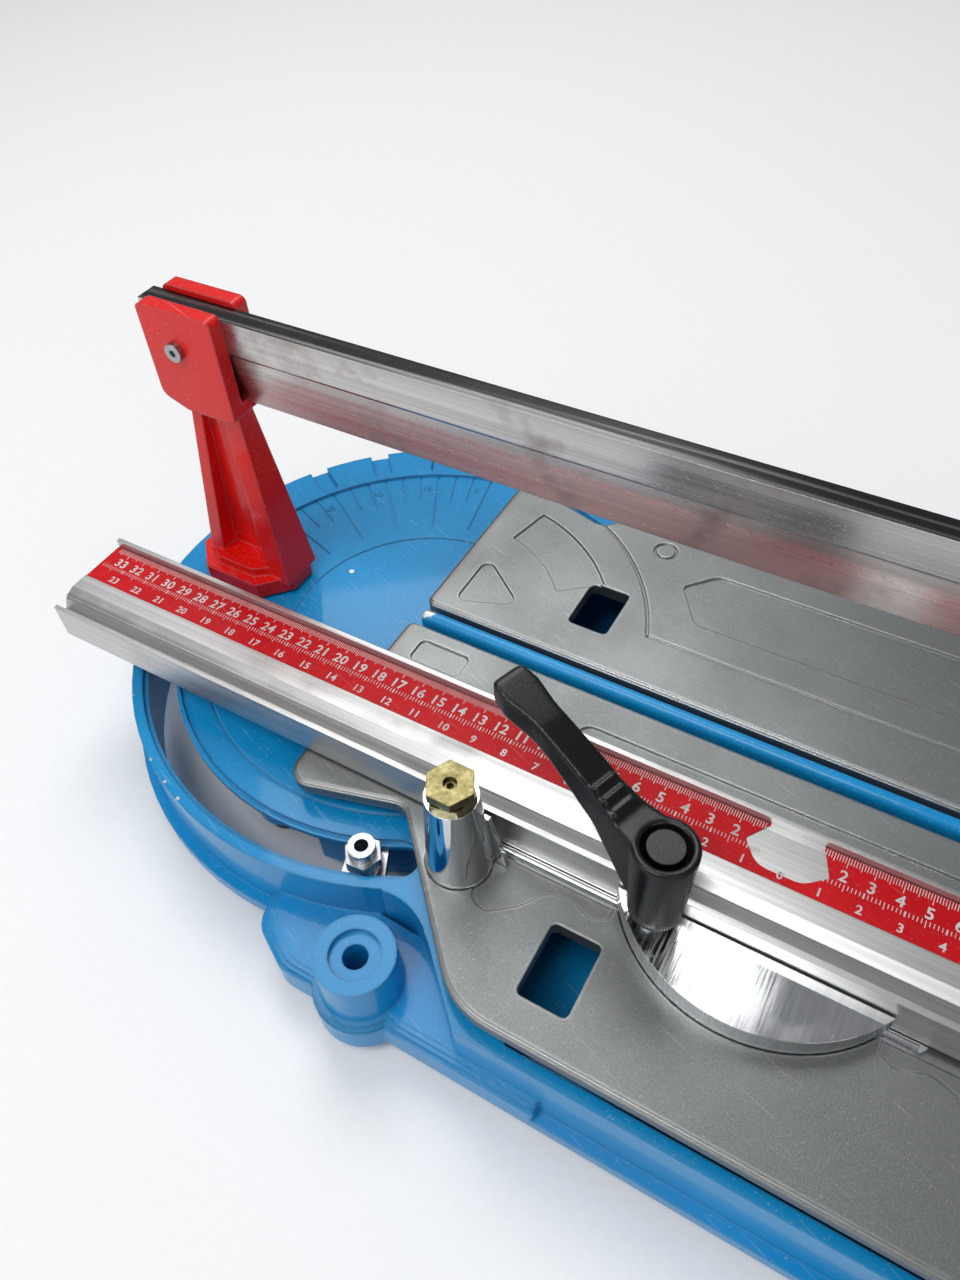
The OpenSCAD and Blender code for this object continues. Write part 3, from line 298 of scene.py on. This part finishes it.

# %% [markdown]
# ### Enamel paint
# The base and the rail supports are die castings with a thick glossy paint. Every edge is
# given a painted highlight in pale blue, and a few small chips show bare aluminium.

# %% Enamel
def enamel(name, deep, light, chip_amount, chips=()):
    tree, skin, relief = finish(name, 0.12, 0.0003)
    cast = use(tree, cast_skin, Pebble=420.0, Wave=55.0, Wave_Share=1.4)
    haze = use(tree, blotches, Size=9.0, Low=0.35, High=0.7)["Mask"]
    edge_masks = use(tree, edges_and_wear, Width=0.0011, Amount=chip_amount, Grain=420.0)
    marks = use(tree, scratches, Length=22.0, Fineness=1300.0, Amount=0.55)["Mask"]
    colour = mixed(tree, haze, deep, light)
    # painted highlight: every edge is mixed a little toward pale blue
    colour = mixed(tree, calc(tree, "MULTIPLY", edge_masks["Edge"], 0.14), colour, (0.55, 0.75, 0.9, 1))
    colour = mixed(tree, calc(tree, "MULTIPLY", marks, 0.30), colour, (0.75, 0.8, 0.85, 1))
    bare = edge_masks["Mask"]
    ragged = put(tree, "TexNoise", {"Vector": here(tree), "Scale": 600.0, "Detail": 4.0}).outputs["Fac"]
    for x, y, z, reach in chips:
        away = put(tree, "VectorMath", {0: here(tree), 1: (DIAL_X + x * MM, y * MM, z * MM)},
                   operation="DISTANCE").outputs["Value"]
        spot = calc(tree, "ADD", calc(tree, "MULTIPLY", away, 1000.0 / reach), ragged)
        bare = calc(tree, "MAXIMUM", bare, between(tree, spot, 1.30, 1.22))
    feed(tree, mixed(tree, bare, colour, (0.62, 0.62, 0.60, 1)), skin["Base Color"])
    feed(tree, calc(tree, "MULTIPLY", bare, 0.9), skin["Metallic"])
    feed(tree, calc(tree, "ADD", between(tree, haze, 0, 1, 0.30, 0.40),
                    calc(tree, "MULTIPLY", marks, 0.2)), skin["Roughness"])
    skin["Specular IOR Level"].default_value = 0.22
    skin["Coat Weight"].default_value = 0.30
    skin["Coat Roughness"].default_value = 0.06
    feed(tree, calc(tree, "SUBTRACT", cast["Height"], calc(tree, "MULTIPLY", bare, 2.0)), relief["Height"])
    rounded_normal(tree, relief, 0.0018)


# x and y from the dial's centre, z and the reach of the chip, all in millimetres
DIAL_SPOT = [(-55, 19, 45.8, 1.7)]
RIM_CHIPS = [(-41, -134, 48, 1.3), (-52, -130, 48, 1.0), (-66, -124, 48, 1.2), (-99, -100, 48, 1.0),
             (36, -150, 48, 0.8), (5, 0.5, 62, 5.0)]
enamel("blue enamel", (0.003, 0.235, 0.53, 1), (0.005, 0.285, 0.63, 1), 0.42,
       DIAL_SPOT + RIM_CHIPS)
enamel("red enamel", (0.68, 0.005, 0.003, 1), (0.82, 0.010, 0.006, 1), 0.34)
print("finishes:", sorted(FINISHES))

# %% [markdown]
# ### Table plates
# The sprung tables are castings that were tumbled bright and never painted: a grey satin
# skin of tiny specks, with the edges rubbed shiny.

# %% Table metal
def table_metal(name):
    tree, skin, relief = finish(name, 0.22, 0.0003)
    cast = use(tree, cast_skin, Pebble=2300.0, Wave=150.0, Wave_Share=0.5)
    haze = use(tree, blotches, Size=16.0, Low=0.35, High=0.68)["Mask"]
    edge_masks = use(tree, edges_and_wear, Width=0.0020, Amount=0.5, Grain=700.0)
    marks = use(tree, scratches, Length=16.0, Fineness=1500.0, Amount=0.22)["Mask"]
    grey = mixed(tree, haze, (0.155, 0.165, 0.165, 1), (0.205, 0.215, 0.215, 1))
    grey = mixed(tree, between(tree, cast["Speck"], 0.35, 0.7, 0.0, 0.45), grey, (0.33, 0.34, 0.34, 1))
    grey = mixed(tree, calc(tree, "MAXIMUM", calc(tree, "MULTIPLY", edge_masks["Edge"], 0.6), marks), grey,
                 (0.58, 0.58, 0.57, 1))
    across = put(tree, "SeparateXYZ", {0: here(tree)}).outputs[0]
    rust = calc(tree, "MULTIPLY", between(tree, across, DIAL_X + 4 * MM, DIAL_X + 0.5 * MM),
                between(tree, cast["Speck"], 0.3, 0.6, 0.35, 0.9))
    grey = mixed(tree, rust, grey, (0.16, 0.075, 0.035, 1))
    feed(tree, grey, skin["Base Color"])
    skin["Metallic"].default_value = 0.85
    feed(tree, calc(tree, "SUBTRACT", between(tree, haze, 0, 1, 0.46, 0.38),
                    calc(tree, "MULTIPLY", edge_masks["Edge"], 0.14)), skin["Roughness"])
    feed(tree, cast["Height"], relief["Height"])
    rounded_normal(tree, relief, 0.0012)


table_metal("table metal")
print("finishes:", sorted(FINISHES))

# %% [markdown]
# ### Bare and plated metal
# One helper serves every bare metal, because they differ only in colour, in how rough they
# are, in which way they were drawn and in how much dirt they hold.

# %% Metals
def metal(name, dark, light, rough, along=(4.0, 900.0, 900.0), coarse=(1.5, 170.0, 170.0), bump=0.06,
          stain=(0.2, 0.17, 0.15, 1), stain_share=0.2, scratch=0.3, edge=0.4, radius=0.0005,
          top_scale=0.0, rub=None):
    tree, skin, relief = finish(name, bump, 0.0002)
    lines = use(tree, drawn_lines, Stretch=along, Coarse=coarse)
    dirt = use(tree, blotches, Size=34.0, Low=0.52, High=0.72)["Mask"]
    marks = use(tree, scratches, Length=20.0, Fineness=1400.0, Amount=scratch)["Mask"]
    edge_masks = use(tree, edges_and_wear, Width=radius * 1.5, Amount=edge, Grain=800.0)
    colour = mixed(tree, between(tree, lines["Fine"], 0.3, 0.7), dark, light)
    colour = mixed(tree, between(tree, lines["Broad"], 0.35, 0.7, 0.0, 0.35), colour, dark)
    colour = mixed(tree, calc(tree, "MULTIPLY", dirt, stain_share), colour, stain)
    colour = mixed(tree, calc(tree, "MULTIPLY", edge_masks["Edge"], edge), colour, light)
    if top_scale:
        up = put(tree, "SeparateXYZ", {0: put(tree, "NewGeometry").outputs["Normal"]}).outputs[2]
        scale = calc(tree, "MULTIPLY", between(tree, up, 0.6, 0.9), between(tree, lines["Broad"], 0.72, 0.5))
        colour = mixed(tree, calc(tree, "MULTIPLY", scale, top_scale), colour, (0.02, 0.022, 0.025, 1))
    base = between(tree, lines["Broad"], 0.3, 0.7, rough * 0.8, rough * 1.25)
    worn = calc(tree, "MULTIPLY", calc(tree, "ADD", dirt, marks), 0.12)
    # rub: streaks round one spot are painted near white, a painted highlight, and their raised roughness
    # stands for rubbed scuffs
    if rub:
        place = (DIAL_X + rub[0] * MM, rub[1] * MM, rub[2] * MM)
        away = put(tree, "VectorMath", {0: here(tree), 1: place}, operation="DISTANCE").outputs["Value"]
        streak = put(tree, "VectorMath", {0: here(tree), 1: (900.0, 45.0, 45.0)}, operation="MULTIPLY")
        crest = put(tree, "TexNoise", {"Vector": streak.outputs[0], "Scale": 1.0,
                                       "Detail": 4.0}).outputs["Fac"]
        near = between(tree, away, rub[3] * MM, rub[3] * 0.3 * MM)
        highlight_and_scuffs = calc(tree, "MULTIPLY", near, between(tree, crest, 0.35, 0.6))
        colour = mixed(tree, highlight_and_scuffs, colour, (0.93, 0.93, 0.94, 1))
        worn = calc(tree, "ADD", worn, calc(tree, "MULTIPLY", highlight_and_scuffs, 0.34))
    feed(tree, colour, skin["Base Color"])
    skin["Metallic"].default_value = 1.0
    feed(tree, calc(tree, "ADD", base, worn), skin["Roughness"])
    feed(tree, calc(tree, "ADD", lines["Fine"], calc(tree, "MULTIPLY", marks, -0.8)), relief["Height"])
    rounded_normal(tree, relief, radius)


metal("drawn aluminium", (0.50, 0.50, 0.495, 1), (0.68, 0.68, 0.675, 1), 0.36, stain_share=0.12)
metal("ground steel", (0.46, 0.45, 0.445, 1), (0.62, 0.61, 0.60, 1), 0.24, coarse=(3.0, 240.0, 240.0),
      stain=(0.16, 0.10, 0.08, 1), stain_share=0.6, scratch=0.6)
metal("rail steel", (0.46, 0.45, 0.445, 1), (0.64, 0.63, 0.62, 1), 0.26, coarse=(3.0, 240.0, 240.0),
      stain=(0.16, 0.10, 0.08, 1), stain_share=0.6, scratch=0.6, top_scale=0.94)
# chrome: rub puts a painted highlight of bright streaks on the carrier, with real scuffing in its raised
# roughness
metal("chrome", (0.62, 0.63, 0.64, 1), (0.80, 0.81, 0.82, 1), 0.07, along=(600.0, 26.0, 26.0),
      coarse=(90.0, 12.0, 12.0), bump=0.03, stain_share=0.08, scratch=0.5, rub=(182, -106, 72, 34))
metal("zinc", (0.30, 0.31, 0.33, 1), (0.48, 0.50, 0.52, 1), 0.30, along=(500.0, 500.0, 60.0),
      coarse=(120.0, 120.0, 30.0), stain_share=0.3)
metal("yellow zinc", (0.13, 0.11, 0.045, 1), (0.29, 0.25, 0.12, 1), 0.34, along=(500.0, 500.0, 60.0),
      coarse=(120.0, 120.0, 30.0), stain=(0.10, 0.08, 0.03, 1), stain_share=0.5)
metal("dark steel", (0.10, 0.10, 0.11, 1), (0.22, 0.22, 0.23, 1), 0.36, along=(300.0, 300.0, 300.0),
      coarse=(60.0, 60.0, 60.0), stain_share=0.2)
print("finishes:", sorted(FINISHES))

# %% [markdown]
# ### Plastic and rubber
# Moulded parts show a fine matt grain, and hands polish it on the edges.

# %% Moulded parts
def moulded(name, colour, rub, rough, pebble=1400.0, bump=0.18):
    tree, skin, relief = finish(name, bump, 0.0003)
    cast = use(tree, cast_skin, Pebble=pebble, Wave=90.0, Wave_Share=0.5)
    haze = use(tree, blotches, Size=26.0, Low=0.4, High=0.7)["Mask"]
    edge_masks = use(tree, edges_and_wear, Width=0.0010, Amount=0.4, Grain=900.0)
    marks = use(tree, scratches, Length=26.0, Fineness=1400.0, Amount=0.5)["Mask"]
    shade = mixed(tree, calc(tree, "MULTIPLY", haze, 0.5), colour, rub)
    shade = mixed(tree, calc(tree, "MULTIPLY", calc(tree, "MAXIMUM", edge_masks["Edge"], marks), 0.6), shade, rub)
    feed(tree, shade, skin["Base Color"])
    feed(tree, calc(tree, "SUBTRACT", between(tree, haze, 0, 1, rough, rough * 0.8),
                    calc(tree, "MULTIPLY", edge_masks["Edge"], 0.1)), skin["Roughness"])
    skin["Specular IOR Level"].default_value = 0.35
    feed(tree, cast["Height"], relief["Height"])
    rounded_normal(tree, relief, 0.0006)


moulded("black plastic", (0.003, 0.003, 0.0035, 1), (0.011, 0.011, 0.012, 1), 0.30)
moulded("black rubber", (0.014, 0.014, 0.014, 1), (0.045, 0.043, 0.04, 1), 0.62, 700.0, 0.4)
moulded("white nylon", (0.62, 0.61, 0.57, 1), (0.74, 0.73, 0.70, 1), 0.45)
moulded("grey enamel", (0.055, 0.06, 0.068, 1), (0.10, 0.105, 0.115, 1), 0.42, 420.0, 0.15)
print("finishes:", sorted(FINISHES))

# %% [markdown]
# ### Scale strip
# The strip is red anodised foil. Its print is a pale grey ink that has rubbed thin.

# %% Strip and ink
def strip_red(name):
    tree, skin, relief = finish(name, 0.05, 0.0001)
    lines = use(tree, drawn_lines, Stretch=(6.0, 1200.0, 1200.0), Coarse=(3.0, 90.0, 90.0))
    haze = use(tree, blotches, Size=30.0, Low=0.4, High=0.7)["Mask"]
    marks = use(tree, scratches, Length=18.0, Fineness=1300.0, Amount=0.5)["Mask"]
    red = mixed(tree, haze, (0.50, 0.002, 0.006, 1), (0.60, 0.005, 0.010, 1))
    red = mixed(tree, calc(tree, "MULTIPLY", marks, 0.5), red, (0.7, 0.25, 0.25, 1))
    feed(tree, red, skin["Base Color"])
    feed(tree, between(tree, lines["Broad"], 0.3, 0.7, 0.34, 0.46), skin["Roughness"])
    skin["Specular IOR Level"].default_value = 0.2
    feed(tree, lines["Fine"], relief["Height"])


def scale_ink(name):
    tree, skin, relief = finish(name, 0.1, 0.0001)
    thin = use(tree, blotches, Size=420.0, Low=0.50, High=0.72)["Mask"]
    dull = use(tree, blotches, Size=60.0, Low=0.45, High=0.7)["Mask"]
    pale = mixed(tree, dull, (0.62, 0.60, 0.61, 1), (0.46, 0.43, 0.44, 1))
    feed(tree, mixed(tree, calc(tree, "MULTIPLY", thin, 0.55), pale, (0.50, 0.10, 0.11, 1)),
         skin["Base Color"])
    feed(tree, between(tree, dull, 0, 1, 0.4, 0.55), skin["Roughness"])
    feed(tree, thin, relief["Height"])


def floor_paper(name):
    tree, skin, relief = finish(name, 0.03, 0.0005)
    fibre = use(tree, cast_skin, Pebble=260.0, Wave=8.0, Wave_Share=1.0)
    paper = mixed(tree, fibre["Speck"], (0.88, 0.88, 0.88, 1), (0.92, 0.92, 0.92, 1))
    feed(tree, paper, skin["Base Color"])
    skin["Roughness"].default_value = 0.85
    feed(tree, fibre["Height"], relief["Height"])


strip_red("strip red")
scale_ink("scale ink")
floor_paper("floor paper")
floor.data.materials.append(FINISHES["floor paper"])
print("finishes:", sorted(FINISHES))

# %% [markdown]
# ## Dressing the CAD nodes
# Each node gets its finish by name. The meshes stay as packed, and the finishes round the
# normals near every edge, so that crisp CAD edges still catch the light.

# %% Finishes by node
DRESS = {
    "blue enamel": ["base_casting"],
    "red enamel": ["front_rail_support", "rear_rail_support", "handle_yoke"],
    "table metal": ["near_table", "far_table"],
    "drawn aluminium": ["fence_bar", "breaker_foot"],
    "ground steel": ["scoring_wheel", "handle_tube"],
    "rail steel": ["rail"],
    "chrome": ["fence_carrier"],
    "zinc": ["slot_nut", "slot_slider", "rail_screws", "rail_nuts", "support_bolts", "carrier_screws",
             "lever_stud", "near_stop_screws", "far_stop_screws", "holder_screw", "pivot_screws",
             "roller_axles", "foot_pin", "wheel_axle"],
    "yellow zinc": ["post_nut", "grub_screw"],
    "dark steel": ["near_springs", "far_springs", "wheel_holder"],
    "black plastic": ["clamp_lever", "lever_button"],
    "black rubber": ["rubber_feet", "handle_grip"],
    "white nylon": ["glide_pads", "top_front_roller", "top_rear_roller", "low_front_roller",
                    "low_rear_roller"],
    "grey enamel": ["carriage_body"],
    "strip red": ["scale_strip"],
}


def dress(node, finish_name):
    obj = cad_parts[node]
    obj.data.materials.clear()
    obj.data.materials.append(FINISHES[finish_name])


for finish_name, nodes in DRESS.items():
    for node in nodes:
        dress(node, finish_name)
undressed = set(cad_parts) - {n for nodes in DRESS.values() for n in nodes}
print("nodes without a finish:", sorted(undressed))

# %% [markdown]
# ## Soft shape of the lever
# The CAD lever is two crossed outlines, so it has hard corners. The real one is moulded and
# round everywhere. A fine voxel remesh followed by smoothing rounds it without moving it.

# %% Round the lever
def soften(node, voxel, passes):
    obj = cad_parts[node]
    remesh = obj.modifiers.new("even skin", "REMESH")
    remesh.mode = "VOXEL"
    remesh.voxel_size = voxel
    remesh.use_smooth_shade = True
    smooth = obj.modifiers.new("round", "SMOOTH")
    smooth.factor = 0.5
    smooth.iterations = passes
    thin = obj.modifiers.new("thin out", "DECIMATE")
    thin.ratio = 0.35


SKIN_VOXEL = 0.6 * MM
SMOOTH_PASSES = 26

soften("clamp_lever", SKIN_VOXEL, SMOOTH_PASSES)
print("softened: clamp_lever")

# %% [markdown]
# The foot of the hub keeps its crisp vertical teeth, so it is a ring of its own.

# %% Toothed foot of the lever
hub_low, hub_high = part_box("lever_stud")
HUB = Vector(((hub_low.x + hub_high.x) / 2, (hub_low.y + hub_high.y) / 2, 0))
FOOT_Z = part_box("clamp_lever")[0].z


def toothed_ring(name, radius, height, teeth, depth):
    mesh = bmesh.new()
    rings = []
    for z in (0.0, height):
        ring = []
        for i in range(teeth * 4):
            inset = depth if i % 4 in (2, 3) else 0.0
            angle = math.tau * i / (teeth * 4)
            ring.append(mesh.verts.new(((radius - inset) * math.cos(angle),
                                        (radius - inset) * math.sin(angle), z)))
        rings.append(ring)
    low, high = rings
    for i in range(len(low)):
        k = (i + 1) % len(low)
        mesh.faces.new((low[i], low[k], high[k], high[i]))
    mesh.faces.new(high)
    mesh.faces.new(list(reversed(low)))
    data = bpy.data.meshes.new(name)
    mesh.to_mesh(data)
    mesh.free()
    obj = bpy.data.objects.new(name, data)
    bpy.context.scene.collection.objects.link(obj)
    return obj


FOOT_R = 10.0 * MM
FOOT_H = 3.6 * MM
TOOTH_COUNT = 60
TOOTH_DEPTH = 0.35 * MM

lever_teeth = toothed_ring("lever_teeth", FOOT_R, FOOT_H, TOOTH_COUNT, TOOTH_DEPTH)
lever_teeth.location = HUB + Vector((0, 0, FOOT_Z))
lever_teeth.data.materials.append(FINISHES["black plastic"])
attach(lever_teeth, "lever")
print("teeth faces:", len(lever_teeth.data.polygons))

# %% [markdown]
# ## The printed scale
# The upper row counts centimetres from the middle to both sides. The lower row steps by the
# diagonal of a centimetre, for tiles that are cut corner to corner. Numbers are made as
# text, turned into a mesh and joined with the tick marks into one thin sheet of ink.

# %% Ticks and numbers
strip_low, strip_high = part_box("scale_strip")
ZERO_X = (strip_low.x + strip_high.x) / 2
INK_Z = strip_high.z + 0.03 * MM
UPPER_STEP = 1.0 * MM
LOWER_STEP = math.sqrt(2) * MM
UPPER_CLEAR = 11 * MM
LOWER_CLEAR = 9 * MM
UPPER_LAST = 33
LOWER_LAST = 23
UPPER_NUMBER_Y = strip_low.y + 13.4 * MM
LOWER_NUMBER_Y = strip_low.y + 3.3 * MM
UPPER_NUMBER_H = 4.1 * MM
LOWER_NUMBER_H = 3.1 * MM


def add_bar(mesh, x, y_low, y_high, width):
    half = width / 2
    corners = [(x - half, y_low), (x + half, y_low), (x + half, y_high), (x - half, y_high)]
    mesh.faces.new([mesh.verts.new((cx, cy, INK_Z)) for cx, cy in corners])


def tick_marks():
    mesh = bmesh.new()
    top = strip_high.y - 0.1 * MM
    reach = strip_high.x - ZERO_X - 2 * MM
    for i in range(1, int(reach / UPPER_STEP) + 1):
        length = 4.7 if i % 10 == 0 else 3.8 if i % 5 == 0 else 2.9
        for side in (-1, 1):
            x = ZERO_X + side * i * UPPER_STEP
            if abs(x - ZERO_X) > UPPER_CLEAR:
                add_bar(mesh, x, top - length * MM, top, 0.34 * MM)
    row = strip_low.y + 9.6 * MM
    for i in range(0, int(reach / LOWER_STEP) + 1):
        tall, wide = (1.3, 0.62) if i % 10 == 0 else (2.1, 0.3) if i % 5 == 0 else (1.0, 0.3)
        for side in ((-1, 1) if i else (1,)):
            x = ZERO_X + side * i * LOWER_STEP
            if abs(x - ZERO_X) > LOWER_CLEAR:
                add_bar(mesh, x, row - tall * MM, row + 0.9 * MM, wide * MM)
    data = bpy.data.meshes.new("ticks")
    mesh.to_mesh(data)
    mesh.free()
    return bpy.data.objects.new("ticks", data)


def number(value, x, y, height):
    text = bpy.data.curves.new("number", "FONT")
    text.body = str(value)
    text.align_x = "CENTER"
    text.align_y = "CENTER"
    text.size = height * 1.60
    text.offset = height * 0.034
    text.space_character = 1.06
    text.resolution_u = 3
    obj = bpy.data.objects.new("number", text)
    obj.location = (x, y, INK_Z)
    bpy.context.scene.collection.objects.link(obj)
    return obj


def one_piece(name, parts, finish_name):
    bpy.context.view_layer.update()
    shapes = bpy.context.evaluated_depsgraph_get()
    whole = bmesh.new()
    for part in parts:
        flat = bpy.data.meshes.new_from_object(part.evaluated_get(shapes))
        flat.transform(part.matrix_world)
        whole.from_mesh(flat)
        bpy.data.meshes.remove(flat)
        bpy.data.objects.remove(part)
    data = bpy.data.meshes.new(name)
    whole.to_mesh(data)
    whole.free()
    obj = bpy.data.objects.new(name, data)
    bpy.context.scene.collection.objects.link(obj)
    data.materials.append(FINISHES[finish_name])
    return obj


numbers = []
for side in (-1, 1):
    for i in range(2, UPPER_LAST + 1):
        x = ZERO_X + side * i * 10 * UPPER_STEP
        numbers.append(number(i, x, UPPER_NUMBER_Y, UPPER_NUMBER_H))
    for i in range(0 if side < 0 else 1, LOWER_LAST + 1):
        x = ZERO_X + side * i * 10 * LOWER_STEP
        numbers.append(number(i, x, LOWER_NUMBER_Y, LOWER_NUMBER_H))
ticks = tick_marks()
bpy.context.scene.collection.objects.link(ticks)
scale_print = one_piece("scale_print", [ticks] + numbers, "scale ink")
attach(scale_print, "rule")
print("ink faces:", len(scale_print.data.polygons))

# %% [markdown]
# ## Numbers on the dial
# Beside each long line of the dial stands a small raised number, cast with the base.

# %% Dial numbers
DIAL_STEP = 15
DIAL_COUNT = 5
FIRST_LINE = 102
BESIDE_LINE = 3.2
FIGURE_R = 108 * MM
FIGURE_H = 3.4 * MM
FIGURE_RISE = 0.25 * MM
dial_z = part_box("base_casting")[0].z + 38.35 * MM
figures = []
for i in range(DIAL_COUNT):
    angle = math.radians(FIRST_LINE + DIAL_STEP * i + BESIDE_LINE)
    place = Vector((DIAL_X + FIGURE_R * math.cos(angle), FIGURE_R * math.sin(angle), dial_z))
    figure = number(DIAL_STEP * i, place.x, place.y, FIGURE_H)
    figure.location.z = dial_z
    figure.rotation_euler = (0, 0, angle - math.pi / 2)
    figure.data.extrude = FIGURE_RISE
    figures.append(figure)
dial_numbers = one_piece("dial_numbers", figures, "blue enamel")
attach(dial_numbers, "base")
print("dial number faces:", len(dial_numbers.data.polygons))
